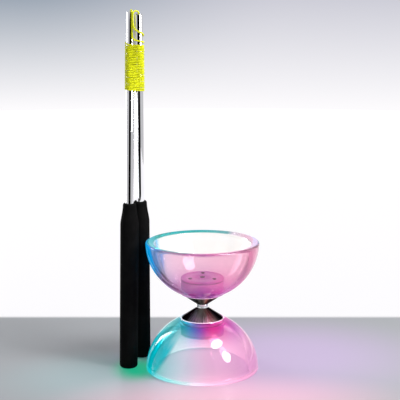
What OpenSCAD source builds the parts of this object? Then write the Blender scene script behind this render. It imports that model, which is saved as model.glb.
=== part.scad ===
// Diabolo set: a two-cup spool with a free-turning waist collar and a light unit in each cup,
// and two handsticks that stand beside it with the string wound round their tips.
// The origin is the centre of the waist, +Z runs along the spool's axle, sizes are in millimetres.

/* [Cups] */
// Outer radius of each cup at its rim
cup_r = 57.5; // [57:0.5:60]
// Height of the spool from rim to rim
spool_h = 133; // [133:1:136]
// Width of the thick lip at the rim
lip_w = 8.9; // [8:0.1:9]
// Radius of the hub that meets the metal cone
hub_r = 22; // [21.8:0.1:22.2]

/* [Axle] */
// Radius of the bright collar that the string runs on
collar_r = 6; // [5.9:0.1:6.2]
// Visible height of the collar
collar_h = 4; // [3.6:0.1:4.2]
// Radius of the wide end of each cone
cone_r = 20.9; // [20:0.1:21]
// Radius of the axle rod
rod_r = 3; // [3:0.1:3.05]

/* [Light units] */
// Radius of each light unit
light_r = 22; // [21.9:0.1:22.1]
// Number of light-emitting chips on each board
led_count = 6; // [3:3:6]
// How far the push button travels
button_travel = 0.7; // [0.4:0.1:0.7]

/* [Handsticks] */
// Length of each stick
stick_len = 361; // [355:1:365]
// Radius of the chrome tube
tube_r = 4; // [3.9:0.05:4]
// Radius of the foam grip
grip_r = 9.25; // [8.5:0.25:9.25]
// Length of the foam grip
grip_len = 172; // [160:1:175]

/* [String] */
// Diameter of the string
string_d = 1.6; // [1.5:0.05:1.6]

/* [Hidden] */
$fn = 96;

// Cup
rim_z = spool_h / 2;
floor_z = -rim_z;
hub_z = rim_z - sqrt(cup_r * cup_r - hub_r * hub_r);
cup_inner_r = cup_r - lip_w;
cup_inner_h = 53;
cup_floor_z = 19.5;
lip_round = 2;
lip_inner_round = 2.5;
lip_drop = 1;
bead_h = 1;
bead_start_r = hub_r + 1.2;
arc_steps = 28;

// Axle stack
rod_half = 24.2;
bore_gap = 0.1;
bearing_w = 3;
bearing_r = 5;
bearing_pitch_r = 4;
race_gap = 0.3;
ball_r = 0.55;
ball_count = 8;
groove_r = 0.6;
sleeve_half = 4.7;
sleeve_end_r = 5.6;
nose_z = 2.3;
nose_r = 6.6;
pocket_r = 5.9;
pocket_z = 5;
spacer_r = 3.7;
washer_r = 6;
washer_h = 1;
nut_flat = 10;
nut_h = 3.2;

// Light unit, measured up the axle from the waist
shell_t = 1.5;
well_r = 7;
well_t = 1.2;
well_top = 25.6;
well_cap = 0.8;
housing_top = 29.5;
lens_z = 30;
lens_top = 31.5;
boss_r = 2.2;
screw_at = 14;
screw_turn = 208;
screw_r = 0.9;
screw_end = 24;
screw_head_r = 1.8;
screw_head_h = 0.8;
cell_r = 5.8;
cell_h = 5.4;
cell_at = 14.4;
clip_t = 0.3;
cell_z = cup_floor_z + shell_t + clip_t;
board_z = 26.9;
board_t = 1.2;
board_r = 20;
led_w = 5;
led_h = 1.6;
led_at = 13.2;
dome_r = 3;
dome_h = 0.5;
button_r = 2.5;
button_gap = 0.08;
button_flange_r = 3.6;
button_flange_h = 0.5;
button_top = 32;
button_z = board_z + board_t + dome_h + button_travel;

// Handsticks: where each stick's lower and upper ends stand, as x and y
front_foot = [-76, 3];
front_tip = [-69.6, -1];
back_foot = [-64.2, 38.5];
back_tip = [-61.9, -6];
tube_bore_r = 3.2;
grip_floor = 3;
grip_round = 3;
grip_top_r = 6.75;
grip_taper = 22;
plug_h = 7;
tip_plug_z = stick_len - 11;
string_hole_r = 1;
knot_r = 2.2;
knot_drop = 2.3;

// String: the turns lie in two strands, each laid between the turns of the other
string_r = string_d / 2;
wrap_r = tube_r + string_r;
wrap_top = 263.6;
wrap_bottom = 213;
back_row_top = 262.7;
front_row_top = 261.08;
back_first_drop = 16.3;
front_first_drop = 7;
wrap_start = 0.06;
wrap_end = 0.98;
wrap_step = 0.08;
// From each knot up out of the tube's mouth, over its edge and down the groove between the tubes
back_route = [
    [-62, -4.8, 281], [-61.9, -5.5, 288], [-61.6, -5.7, 290.5], [-61.4, -5.7, 292.5],
    [-61.7, -5.9, 294.1], [-62.8, -6.4, 295.3], [-64.2, -7.1, 295.7], [-65.7, -7.8, 295.3],
    [-66.7, -8.3, 294.1], [-67.1, -8.5, 292.5], [-67.2, -8.4, 289.5], [-67.1, -8.1, 286],
    [-66.9, -8, 283], [-66.5, -8.3, 280]
];
front_route = [
    [-69.8, -0.9, 283], [-69.7, -0.9, 289], [-69.8, -0.6, 291.5], [-69.8, -0.4, 293.3],
    [-69.6, -0.8, 294.9], [-69.3, -2, 296.1], [-68.9, -3.5, 296.5], [-68.5, -5.1, 296.1],
    [-68.2, -6.2, 294.9], [-68.1, -6.7, 293.3], [-68.1, -6.6, 290], [-68.1, -6.3, 286],
    [-68.1, -6, 281], [-68, -6, 276], [-68, -6.1, 272.5], [-67.9, -6.2, 270.6],
    [-67.4, -6.5, 269.1], [-66.5, -7.1, 268.1]
];

// ---- Shared functions ----
function arc(cx, cy, r, from, to, steps = 6) =
    [for (i = [0:steps]) let (a = from + (to - from) * i / steps) [cx + r * cos(a), cy + r * sin(a)]];

// A stick's lean, the height its round foot needs, and its axis at a height
function run_of(foot, tip) = norm(tip - foot);
function lean(foot, tip) = asin(run_of(foot, tip) / stick_len);
function heading(foot, tip) = atan2(tip.y - foot.y, tip.x - foot.x);
function foot_lift(foot, tip) =
    (grip_r - grip_round) * sin(lean(foot, tip)) + grip_round * (1 - cos(lean(foot, tip)));
function axis_at(foot, tip, z) =
    let (low = floor_z + foot_lift(foot, tip), high = low + stick_len * cos(lean(foot, tip)))
    foot + (tip - foot) * (z - low) / (high - low);

// A point of the closed path that hugs both tubes at height z; turn 0 is the front groove
function wrap_point(turn, z) =
    let (
        a = axis_at(front_foot, front_tip, z), b = axis_at(back_foot, back_tip, z),
        gap = norm(b - a), e = (b - a) / gap, n = [e.y, -e.x], r = wrap_r,
        half = PI * r, whole = 2 * gap + 2 * half,
        s = (turn - floor(turn)) * whole,
        right = (s - gap / 2) / r * 180 / PI, left = (s - 1.5 * gap - half) / r * 180 / PI,
        p = s < gap / 2 ? a + e * (gap / 2 + s) + n * r
          : s < gap / 2 + half ? b + (n * cos(right) + e * sin(right)) * r
          : s < 1.5 * gap + half ? b - e * (s - gap / 2 - half) - n * r
          : s < 1.5 * gap + 2 * half ? a - (n * cos(left) + e * sin(left)) * r
          : a + e * (s - 1.5 * gap - 2 * half) + n * r
    ) [p.x, p.y, z];

// The first, steep turn of a strand, from the groove down to its top row
function first_turn(row_top, drop) =
    [for (u = [wrap_start:wrap_step:wrap_end]) wrap_point(u, row_top + drop * pow(1 - u, 1.5))];

// The direction of a path at point i, and the part of a vector that is square to a direction
function direction(path, i) =
    let (d = path[min(i + 1, len(path) - 1)] - path[max(i - 1, 0)]) d / norm(d);
function square_to(v, t) = let (w = v - (v * t) * t) w / norm(w);

// The corners of a swept tube, ring by ring, each ring turned as little as it can be from the last
function swept_corners(path, r, sides) = [
    for (
        i = 0, u = square_to([1, 0.3, 0], direction(path, 0));
        i < len(path);
        i = i + 1, u = i < len(path) ? square_to(u, direction(path, i)) : u
    )
        let (v = cross(direction(path, i), u))
        for (k = [0:sides - 1]) path[i] + r * (u * cos(360 * k / sides) + v * sin(360 * k / sides))
];

// ---- Shared shapes ----
module tube(outer, inner, low, high) {
    rotate_extrude() translate([inner, low]) square([outer - inner, high - low]);
}

module disc(r, low, high) {
    translate([0, 0, low]) cylinder(r = r, h = high - low);
}

module at_screws(radius = screw_at) {
    for (i = [0:2]) rotate(screw_turn + 120 * i) translate([radius, 0, 0]) children();
}

module at_cells() {
    for (i = [0:2]) rotate(screw_turn + 60 + 120 * i) translate([cell_at, 0, 0]) children();
}

module on_stick(foot, tip) {
    translate([foot.x, foot.y, floor_z + foot_lift(foot, tip)])
        rotate([0, lean(foot, tip), heading(foot, tip)]) children();
}

// A cord swept along a path
module swept_cord(path, r, sides = 8) {
    last = (len(path) - 1) * sides;
    polyhedron(
        points = swept_corners(path, r, sides),
        faces = [
            [for (k = [0:sides - 1]) k],
            [for (k = [sides - 1:-1:0]) last + k],
            for (i = [0:len(path) - 2], k = [0:sides - 1])
                let (a = i * sides, b = a + sides, m = (k + 1) % sides) [a + k, b + k, b + m, a + m]
        ]
    );
}

module lower() {
    mirror([0, 0, 1]) children();
}

// ---- Spool ----
module cup() {
    start = asin(bead_start_r / cup_r);
    stop = acos(lip_round / cup_r);
    top = asin((lip_drop + lip_inner_round) / cup_inner_h);
    bottom = asin((rim_z - cup_floor_z) / cup_inner_h);
    color("lavender", 0.6) rotate_extrude($fn = 160) polygon(concat(
        [[rod_r + bore_gap, hub_z], [cone_r + 0.2, hub_z], [cone_r + 0.3, hub_z - bead_h + 0.2],
         [cone_r + 0.8, hub_z - bead_h], [hub_r + 0.4, hub_z - bead_h + 0.3]],
        [for (i = [0:arc_steps]) let (a = start + (stop - start) * i / arc_steps)
            [cup_r * sin(a), rim_z - cup_r * cos(a)]],
        arc(cup_r - lip_round, rim_z - lip_round, lip_round, 15, 90),
        [[cup_r - lip_w + 4.5, rim_z]],
        arc(cup_inner_r + lip_inner_round, rim_z - lip_drop - lip_inner_round, lip_inner_round, 80, 175),
        [for (i = [0:arc_steps]) let (a = top + (bottom - top) * i / arc_steps)
            [cup_inner_r * cos(a), rim_z - cup_inner_h * sin(a)]],
        [[rod_r + bore_gap, cup_floor_z]]
    ));
}

module cone() {
    color([0.42, 0.40, 0.40]) rotate_extrude() difference() {
        polygon([
            [rod_r + bore_gap, pocket_z], [pocket_r, pocket_z], [pocket_r, nose_z], [nose_r, nose_z],
            [cone_r, hub_z - 0.9], [cone_r, hub_z], [rod_r + bore_gap, hub_z]
        ]);
        polygon([[9, 7.6], [18.2, hub_z + 1], [9, hub_z + 1]]);
    }
}

module axle_rod() {
    color("silver") disc(rod_r, -rod_half, rod_half);
}

module axle_sleeve() {
    color([0.85, 0.85, 0.88]) rotate_extrude() polygon([
        [bearing_r, -sleeve_half], [sleeve_end_r, -sleeve_half], [sleeve_end_r, -collar_h / 2],
        [collar_r, -collar_h / 2], [collar_r, collar_h / 2], [sleeve_end_r, collar_h / 2],
        [sleeve_end_r, sleeve_half], [bearing_r, sleeve_half]
    ]);
}

function bearing_z(i) = (i - 2) * bearing_w;

module bearing_ring(low_r, high_r, i) {
    color("gainsboro") translate([0, 0, bearing_z(i)]) rotate_extrude() difference() {
        translate([low_r, -bearing_w / 2]) square([high_r - low_r, bearing_w]);
        translate([bearing_pitch_r, 0]) circle(r = groove_r, $fn = 32);
    }
}

module bearing_outer_ring(i) {
    bearing_ring(bearing_pitch_r + race_gap, bearing_r, i);
}

module bearing_inner_ring(i) {
    bearing_ring(rod_r, bearing_pitch_r - race_gap, i);
}

module bearing_balls(i) {
    color("white") for (k = [0:ball_count - 1])
        rotate(360 / ball_count * (k + i / 3)) translate([bearing_pitch_r, 0, bearing_z(i)])
            sphere(r = ball_r, $fn = 32);
}

module spacer() {
    color("darkgray") tube(spacer_r, rod_r, 1.5 * bearing_w, pocket_z);
}

module hub_washer() {
    color("silver") tube(washer_r, rod_r + bore_gap, cup_floor_z, cup_floor_z + washer_h);
}

module axle_nut() {
    low = cup_floor_z + washer_h;
    color("silver") difference() {
        translate([0, 0, low]) cylinder(d = nut_flat / cos(30), h = nut_h, $fn = 6);
        disc(rod_r, low - 1, low + nut_h + 1);
    }
}

// ---- Light unit ----
module light_housing() {
    floor_top = cup_floor_z + shell_t;
    color([0.95, 0.95, 0.97]) difference() {
        union() {
            tube(light_r, well_r, cup_floor_z, floor_top);
            tube(light_r, light_r - shell_t, cup_floor_z, housing_top);
            tube(well_r + well_t, well_r, cup_floor_z, well_top - well_cap);
            disc(well_r + well_t, well_top - well_cap, well_top);
            at_screws() disc(boss_r, cup_floor_z, board_z);
        }
        at_screws() disc(screw_r, screw_end, board_z + 1);
    }
}

module battery_clip() {
    low = cell_z - clip_t;
    color("goldenrod") {
        difference() {
            union() {
                tube(18.6, 17.2, low, cell_z);
                at_cells() disc(4.5, low, cell_z);
            }
            at_screws() disc(boss_r + 0.2, low - 1, cell_z + 1);
        }
        at_cells() disc(2, cell_z + cell_h, board_z);
    }
}

module button_cells() {
    color("silver") at_cells() rotate_extrude() polygon([
        [0, cell_z], [cell_r - 1, cell_z], [cell_r - 0.6, cell_z + 0.4], [cell_r, cell_z + 0.8],
        [cell_r, cell_z + cell_h - 0.3], [cell_r - 0.3, cell_z + cell_h], [0, cell_z + cell_h]
    ]);
}

module circuit_board() {
    color("seagreen") difference() {
        disc(board_r, board_z, board_z + board_t);
        at_screws() disc(screw_r + 0.2, board_z - 1, board_z + board_t + 1);
    }
}

module leds() {
    low = board_z + board_t;
    color("ivory") for (i = [0:led_count - 1])
        rotate(screw_turn + 30 + 360 / led_count * i) translate([led_at, 0, low]) difference() {
            translate([-led_w / 2, -led_w / 2, 0]) cube([led_w, led_w, led_h]);
            translate([0, 0, led_h - 0.5]) cylinder(r1 = 1.7, r2 = 2.1, h = 0.6, $fn = 24);
        }
}

module dome_switch() {
    low = board_z + board_t;
    color("silver") rotate_extrude() polygon([
        [0, low], [dome_r, low], [dome_r, low + 0.15], [dome_r * 0.6, low + 0.42], [0, low + dome_h]
    ]);
}

module seal_ring() {
    color("dimgray") tube(light_r - 0.2, light_r - shell_t + 0.1, housing_top, lens_z);
}

module light_lens() {
    color("thistle", 0.7) difference() {
        rotate_extrude() polygon([
            [button_r + button_gap, lens_z], [light_r, lens_z], [light_r, lens_top - 0.6],
            [light_r - 0.6, lens_top], [button_r + button_gap, lens_top]
        ]);
        at_screws() disc(screw_r + 0.2, lens_z - 1, lens_top + 1);
    }
}

module push_button() {
    color([0.2, 0.2, 0.24]) rotate_extrude() polygon(concat(
        [[0, button_z], [button_flange_r, button_z], [button_flange_r, button_z + button_flange_h],
         [button_r, button_z + button_flange_h]],
        arc(button_r - 0.4, button_top - 0.4, 0.4, 0, 90),
        [[0, button_top + 0.1]]
    ));
}

module cover_screws() {
    head_z = lens_top;
    color([0.25, 0.25, 0.28]) at_screws() difference() {
        rotate_extrude() polygon(concat(
            [[0, screw_end], [screw_r, screw_end], [screw_r, head_z], [screw_head_r, head_z]],
            arc(screw_head_r - 0.4, head_z + screw_head_h - 0.4, 0.4, 0, 90),
            [[0, head_z + screw_head_h]]
        ));
        for (a = [0, 90]) rotate(a)
            translate([-1, -0.2, head_z + 0.3]) cube([2, 0.4, screw_head_h]);
    }
}

// ---- Handsticks ----
module stick_tube(foot, tip) {
    color([0.88, 0.88, 0.9]) on_stick(foot, tip)
        tube(tube_r, tube_bore_r, grip_floor, stick_len);
}

module stick_grip(foot, tip) {
    shoulder = grip_len - grip_taper;
    color([0.07, 0.07, 0.08]) on_stick(foot, tip) rotate_extrude() difference() {
        polygon(concat(
            [[0, 0], [grip_r - grip_round, 0]],
            arc(grip_r - grip_round, grip_round, grip_round, -75, 0),
            [[grip_r, shoulder], [grip_r - 0.3, shoulder + 5], [grip_top_r + 0.9, shoulder + 13.5],
             [grip_top_r, grip_len - 3]],
            arc(grip_top_r - 2, grip_len - 2, 2, 15, 90, 4),
            [[0, grip_len]]
        ));
        translate([-1, grip_floor]) square([1 + tube_r, grip_len]);
    }
}

module foot_plug(foot, tip) {
    color([0.15, 0.15, 0.16]) on_stick(foot, tip)
        disc(tube_bore_r, grip_floor, grip_floor + plug_h);
}

module tip_plug(foot, tip) {
    color([0.15, 0.15, 0.16]) on_stick(foot, tip)
        tube(tube_bore_r, string_hole_r, tip_plug_z, tip_plug_z + plug_h);
}

module string_knot(foot, tip) {
    color("gold") on_stick(foot, tip)
        translate([0, 0, tip_plug_z - knot_drop]) sphere(r = knot_r, $fn = 48);
}

// ---- String ----
module wrap_outline(z, r, h) {
    translate([0, 0, z]) for (p = [axis_at(front_foot, front_tip, z), axis_at(back_foot, back_tip, z)])
        translate(p) cylinder(r = r, h = h, $fn = 48);
}

module string_winding() {
    thin = 0.01;
    color("yellow") difference() {
        hull() {
            wrap_outline(wrap_bottom, tube_r + string_d, thin);
            wrap_outline(wrap_top - thin, tube_r + string_d, thin);
        }
        hull() {
            wrap_outline(wrap_bottom - 1, tube_r + 0.03, thin);
            wrap_outline(wrap_top + 1, tube_r + 0.03, thin);
        }
    }
}

module front_string_lead() {
    color("yellow") swept_cord(concat(front_route, first_turn(front_row_top, front_first_drop)), string_r);
}

module back_string_lead() {
    color("yellow") swept_cord(concat(back_route, first_turn(back_row_top, back_first_drop)), string_r);
}

// ---- Assembly ----
cup();  // upper_cup
lower() cup();  // lower_cup
cone();  // upper_cone
lower() cone();  // lower_cone
axle_rod();
axle_sleeve();
bearing_outer_ring(1);  // bearing_outer_ring_1
bearing_outer_ring(2);  // bearing_outer_ring_2
bearing_outer_ring(3);  // bearing_outer_ring_3
bearing_inner_ring(1);  // bearing_inner_ring_1
bearing_inner_ring(2);  // bearing_inner_ring_2
bearing_inner_ring(3);  // bearing_inner_ring_3
bearing_balls(1);  // bearing_balls_1
bearing_balls(2);  // bearing_balls_2
bearing_balls(3);  // bearing_balls_3
spacer();  // upper_spacer
lower() spacer();  // lower_spacer
hub_washer();  // upper_hub_washer
lower() hub_washer();  // lower_hub_washer
axle_nut();  // upper_axle_nut
lower() axle_nut();  // lower_axle_nut
light_housing();  // upper_light_housing
lower() light_housing();  // lower_light_housing
battery_clip();  // upper_battery_clip
lower() battery_clip();  // lower_battery_clip
button_cells();  // upper_button_cells
lower() button_cells();  // lower_button_cells
circuit_board();  // upper_circuit_board
lower() circuit_board();  // lower_circuit_board
leds();  // upper_leds
lower() leds();  // lower_leds
dome_switch();  // upper_dome_switch
lower() dome_switch();  // lower_dome_switch
seal_ring();  // upper_seal_ring
lower() seal_ring();  // lower_seal_ring
light_lens();  // upper_light_lens
lower() light_lens();  // lower_light_lens
push_button();  // upper_push_button
lower() push_button();  // lower_push_button
cover_screws();  // upper_cover_screws
lower() cover_screws();  // lower_cover_screws
stick_tube(front_foot, front_tip);  // front_stick_tube
stick_tube(back_foot, back_tip);  // back_stick_tube
stick_grip(front_foot, front_tip);  // front_stick_grip
stick_grip(back_foot, back_tip);  // back_stick_grip
foot_plug(front_foot, front_tip);  // front_foot_plug
foot_plug(back_foot, back_tip);  // back_foot_plug
tip_plug(front_foot, front_tip);  // front_tip_plug
tip_plug(back_foot, back_tip);  // back_tip_plug
string_knot(front_foot, front_tip);  // front_string_knot
string_knot(back_foot, back_tip);  // back_string_knot
string_winding();
front_string_lead();
back_string_lead();
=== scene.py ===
import math

import bpy
import bmesh
from mathutils import Matrix, Vector


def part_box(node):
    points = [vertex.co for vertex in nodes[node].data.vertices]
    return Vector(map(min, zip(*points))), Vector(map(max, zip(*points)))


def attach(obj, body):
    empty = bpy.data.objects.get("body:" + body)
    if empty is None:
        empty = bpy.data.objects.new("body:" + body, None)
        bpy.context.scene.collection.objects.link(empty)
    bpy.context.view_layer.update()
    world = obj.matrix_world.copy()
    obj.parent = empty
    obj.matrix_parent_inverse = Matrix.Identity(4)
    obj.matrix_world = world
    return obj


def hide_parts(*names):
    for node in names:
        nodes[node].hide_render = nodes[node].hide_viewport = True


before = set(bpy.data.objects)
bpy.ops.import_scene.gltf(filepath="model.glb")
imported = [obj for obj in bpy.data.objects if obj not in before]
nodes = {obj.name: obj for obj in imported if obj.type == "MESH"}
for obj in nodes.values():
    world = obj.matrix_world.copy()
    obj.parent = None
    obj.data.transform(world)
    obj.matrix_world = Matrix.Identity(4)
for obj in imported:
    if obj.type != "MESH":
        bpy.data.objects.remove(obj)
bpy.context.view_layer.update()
bpy.ops.object.select_all(action="DESELECT")

# ---------------------------------------------------------------- camera
# A long lens at table height, looking a little down at the spool and the two sticks.
floor_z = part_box("lower_cup")[0].z
cam_data = bpy.data.cameras.new("studio_camera")
cam_data.sensor_width = 36.0
cam_data.lens = 100.4
cam_data.clip_start, cam_data.clip_end = 0.01, 60.0
camera = bpy.data.objects.new("studio_camera", cam_data)
camera.location = (-0.0024, -1.097, floor_z + 0.3803)
camera.rotation_euler = (math.radians(79.42), 0.0, 0.0)
bpy.context.scene.collection.objects.link(camera)
bpy.context.scene.camera = camera

# ---------------------------------------------------------------- string
# One length of braided nylon string runs from tip to tip. Each end is knotted under the plug of its
# tube, comes out of the mouth and down the groove between the tubes, and the doubled string is then
# wound tightly round both tubes, down to the loop at its middle.
string_d = 0.0016
string_step = 0.0005
string_sides = 12
strand_pitch = 0.00324
strand_turns = 14
back_row_top, front_row_top = 0.2627, 0.26108
back_first_drop, front_first_drop = 0.0163, 0.007
groove_turn = 0.06
back_route = [
    (-0.062, -0.0048, 0.281), (-0.0619, -0.0055, 0.288), (-0.0616, -0.0057, 0.2905),
    (-0.0614, -0.0057, 0.2925), (-0.0617, -0.0059, 0.2941), (-0.0628, -0.0064, 0.2953),
    (-0.0642, -0.0071, 0.2957), (-0.0657, -0.0078, 0.2953), (-0.0667, -0.0083, 0.2941),
    (-0.0671, -0.0085, 0.2925), (-0.0672, -0.0084, 0.2895), (-0.0671, -0.0081, 0.286),
    (-0.0669, -0.008, 0.283), (-0.0665, -0.0083, 0.280),
]
front_route = [
    (-0.0698, -0.0009, 0.283), (-0.0697, -0.0009, 0.289), (-0.0698, -0.0006, 0.2915),
    (-0.0698, -0.0004, 0.2933), (-0.0696, -0.0008, 0.2949), (-0.0693, -0.002, 0.2961),
    (-0.0689, -0.0035, 0.2965), (-0.0685, -0.0051, 0.2961), (-0.0682, -0.0062, 0.2949),
    (-0.0681, -0.0067, 0.2933), (-0.0681, -0.0066, 0.290), (-0.0681, -0.0063, 0.286),
    (-0.0681, -0.006, 0.281), (-0.068, -0.006, 0.276), (-0.068, -0.0061, 0.2725),
    (-0.0679, -0.0062, 0.2706), (-0.0674, -0.0065, 0.2691), (-0.0665, -0.0071, 0.2681),
]


def ring_centre(node, top):
    """The middle of a leaning tube's upper or lower end, from the CAD node's own points."""
    low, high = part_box(node)
    near = [v.co for v in nodes[node].data.vertices
            if (v.co.z > high.z - 0.002 if top else v.co.z < low.z + 0.002)]
    return Vector([(min(p[k] for p in near) + max(p[k] for p in near)) / 2 for k in range(3)])


front_line = (ring_centre("front_stick_tube", False), ring_centre("front_stick_tube", True))
back_line = (ring_centre("back_stick_tube", False), ring_centre("back_stick_tube", True))
tube_r = 0.004
wrap_r = tube_r + string_d / 2


def stick_at(line, z):
    """The x and y of a stick's axis at height z."""
    low, high = line
    p = low + (high - low) * ((z - low.z) / (high.z - low.z))
    return Vector((p.x, p.y))


def wrap_point(turn, z, radius=wrap_r):
    """A point of the closed path that hugs both tubes at height z; turn 0 is the front groove."""
    a, b = stick_at(front_line, z), stick_at(back_line, z)
    gap = (b - a).length
    e = (b - a) / gap
    n = Vector((e.y, -e.x))
    half = math.pi * radius
    s = (turn % 1.0) * 2 * (gap + half)
    if s < gap / 2:
        p = a + e * (gap / 2 + s) + n * radius
    elif s < gap / 2 + half:
        angle = (s - gap / 2) / radius
        p = b + (n * math.cos(angle) + e * math.sin(angle)) * radius
    elif s < 1.5 * gap + half:
        p = b - e * (s - gap / 2 - half) - n * radius
    elif s < 1.5 * gap + 2 * half:
        angle = (s - 1.5 * gap - half) / radius
        p = a - (n * math.cos(angle) + e * math.sin(angle)) * radius
    else:
        p = a + e * (s - 1.5 * gap - 2 * half) + n * radius
    return Vector((p.x, p.y, z))


def strand(row_top, first_drop, last_turn):
    """A strand of the winding from the groove down: a steep first turn, then even rows."""
    points, turn = [], groove_turn
    while turn < last_turn:
        steep = first_drop * max(0.0, 1 - turn) ** 1.5
        flat = strand_pitch * max(0.0, turn - 1)
        wobble = 0.00012 * math.sin(9.7 * turn) * min(1.0, max(0.0, turn - 1))
        points.append(wrap_point(turn, row_top + steep - flat + wobble))
        turn += 1 / 40
    return points


def smooth_path(points, rounds=2):
    """Chaikin's corner cutting, with both ends kept."""
    for _ in range(rounds):
        cut = [points[0]]
        for p, q in zip(points, points[1:]):
            cut += [p.lerp(q, 0.25), p.lerp(q, 0.75)]
        points = cut + [points[-1]]
    return points


def even_path(points, step):
    """The same path with points a step apart."""
    lengths = [(q - p).length for p, q in zip(points, points[1:])]
    whole = sum(lengths)
    count = math.ceil(whole / step)
    out, i, done = [], 0, 0.0
    for k in range(count + 1):
        at = whole * k / count
        while i < len(lengths) - 1 and done + lengths[i] < at:
            done += lengths[i]
            i += 1
        out.append(points[i].lerp(points[i + 1], min(1.0, (at - done) / max(lengths[i], 1e-12))))
    return out


# The loop at the string's middle lies on the back of the front tube, under the last rows.
loop_turn = strand_turns + 0.58
loop_width = 0.0068
fall_turns, bulge_turns = 0.26, 0.07
last_back = strand(back_row_top, back_first_drop, loop_turn)
last_front = strand(front_row_top, front_first_drop, loop_turn - fall_turns)
loop_top, fall_top = last_back[-1].z, last_front[-1].z
loop = []
for k in range(1, 13):
    share = k / 12
    fall = (fall_top - loop_top + loop_width) * (share * share * (3 - 2 * share))
    loop.append(wrap_point(loop_turn - fall_turns * (1 - share), fall_top - fall))
for k in range(1, 12):
    angle = math.pi * (k / 12 - 0.5)
    loop.append(wrap_point(loop_turn + bulge_turns * math.cos(angle),
                           loop_top - loop_width / 2 * (1 - math.sin(angle))))
string_points = (
    smooth_path([Vector(p) for p in front_route]) + last_front + loop
    + last_back[::-1] + smooth_path([Vector(p) for p in back_route])[::-1]
)
string_path = even_path(smooth_path(string_points, 1), string_step)
string_length = sum((q - p).length for p, q in zip(string_path, string_path[1:]))


def braided_cord(name, path, diameter, sides, relief, picks):
    """A closed tube along a path, its surface raised in two crossing sets of yarns."""
    mesh = bpy.data.meshes.new(name)
    bm = bmesh.new()
    uv = bm.loops.layers.uv.new("UVMap")
    side = Vector((1.0, 0.3, 0.0))
    rings, along = [], 0.0
    for i, p in enumerate(path):
        ahead = (path[min(i + 1, len(path) - 1)] - path[max(i - 1, 0)]).normalized()
        side = (side - ahead * side.dot(ahead)).normalized()
        across = ahead.cross(side)
        along += (p - path[i - 1]).length if i else 0.0
        ring = []
        for k in range(sides):
            angle = 2 * math.pi * k / sides
            twist = 2 * math.pi * along / picks
            yarn = max(math.cos(3 * angle + twist), math.cos(3 * angle - twist))
            r = diameter / 2 * (1 - relief + relief * yarn)
            ring.append(bm.verts.new(p + (side * math.cos(angle) + across * math.sin(angle)) * r))
        rings.append((ring, along))
    for (a, at), (b, to) in zip(rings, rings[1:]):
        for k in range(sides):
            m = (k + 1) % sides
            face = bm.faces.new((a[k], a[m], b[m], b[k]))
            face.smooth = True
            corners = ((k, at), (k + 1, at), (k + 1, to), (k, to))
            for loop_corner, (u, v) in zip(face.loops, corners):
                loop_corner[uv].uv = (u / sides, v / (math.pi * diameter))
    bm.faces.new(list(reversed(rings[0][0])))
    bm.faces.new(rings[-1][0])
    bm.to_mesh(mesh)
    bm.free()
    piece = bpy.data.objects.new(name, mesh)
    bpy.context.scene.collection.objects.link(piece)
    return piece


def knot_path(centre, size):
    """An overhand knot's centreline, pulled tight, a little larger than the string."""
    points = []
    for k in range(97):
        t = 2 * math.pi * (0.04 + 0.92 * k / 96)
        x = math.sin(t) + 2 * math.sin(2 * t)
        y = math.cos(t) - 2 * math.cos(2 * t)
        points.append(centre + Vector((x, y, -1.3 * math.sin(3 * t))) * size)
    return points


def new_material(name, **inputs):
    """A material, its nodes and its Principled shader with these values on the shader's sockets."""
    material = bpy.data.materials.new(name)
    material.use_nodes = True
    tree = material.node_tree
    shader = tree.nodes["Principled BSDF"]
    for key, value in inputs.items():
        shader.inputs[key.replace("_", " ")].default_value = value
    return material, tree, shader


def add_node(tree, kind, values=None, links=None, **settings):
    """A node with its settings, its input values by name or number, and its links."""
    node = tree.nodes.new(kind)
    for key, value in settings.items():
        setattr(node, key, value)
    for key, value in (values or {}).items():
        node.inputs[key].default_value = value
    for key, socket in (links or {}).items():
        tree.links.new(socket, node.inputs[key])
    return node


def string_yarn():
    material, tree, shader = new_material(
        "string_yarn", Roughness=0.6, Specular_IOR_Level=0.2, Sheen_Weight=0.1, Sheen_Roughness=0.4,
        Sheen_Tint=(1.0, 1.0, 0.3, 1.0), Emission_Strength=0.1)
    coords = add_node(tree, "ShaderNodeTexCoord")
    yarns = add_node(tree, "ShaderNodeMapping", {"Rotation": (0, 0, math.radians(35))},
                     {"Vector": coords.outputs["UV"]})
    wave = add_node(tree, "ShaderNodeTexWave", {"Scale": 9.0, "Distortion": 0.6},
                    {"Vector": yarns.outputs["Vector"]})
    blotch = add_node(tree, "ShaderNodeTexNoise", {"Scale": 420.0, "Detail": 3.0},
                      {"Vector": coords.outputs["Object"]})
    ramp = add_node(tree, "ShaderNodeValToRGB", links={"Fac": blotch.outputs["Fac"]})
    ramp.color_ramp.elements[0].position, ramp.color_ramp.elements[1].position = 0.3, 0.75
    ramp.color_ramp.elements[0].color = (0.53, 0.55, 0.001, 1)
    ramp.color_ramp.elements[1].color = (0.78, 0.81, 0.003, 1)
    shade = add_node(tree, "ShaderNodeMix", {"Factor": 0.2},
                     {"A": ramp.outputs["Color"], "B": wave.outputs["Color"]},
                     data_type="RGBA", blend_type="MULTIPLY")
    tree.links.new(shade.outputs["Result"], shader.inputs["Base Color"])
    # The yarn also glows faintly in its own colour: painted light, standing for the brightness of its fluorescent
    # dye.
    tree.links.new(shade.outputs["Result"], shader.inputs["Emission Color"])
    bump = add_node(tree, "ShaderNodeBump", {"Strength": 0.5, "Distance": 0.0001},
                    {"Height": wave.outputs["Fac"]})
    tree.links.new(bump.outputs["Normal"], shader.inputs["Normal"])
    return material


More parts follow.
